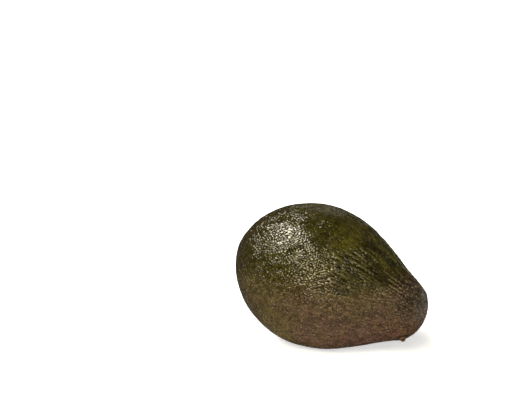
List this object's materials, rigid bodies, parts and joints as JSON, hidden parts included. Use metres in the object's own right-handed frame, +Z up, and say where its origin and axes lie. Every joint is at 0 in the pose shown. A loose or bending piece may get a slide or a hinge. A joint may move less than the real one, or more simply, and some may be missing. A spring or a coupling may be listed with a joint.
{
  "type": "avocado",
  "caption": "Whole dark-skinned avocado lying on its side: pear-shaped fruit with pebbled skin and a small woody stem button in a dimple by the narrow end.",
  "frame": {"origin": "centre of the flat spot that the fruit rests on, under its weight", "axes": "+Z up; +X level, over the fruit's long axis towards its narrow stem end; +Y to the side that the stem button is turned away from"},
  "size_m": [0.0985, 0.0699, 0.0694],
  "materials": {
    "skin": "dark olive-green to brown pebbled skin with a waxy satin gloss",
    "stem": "dry orange-brown corky wood, matte"
  },
  "bodies": {
    "root": {"fruit": "skin", "stem_button": "stem"}
  },
  "joints": []
}
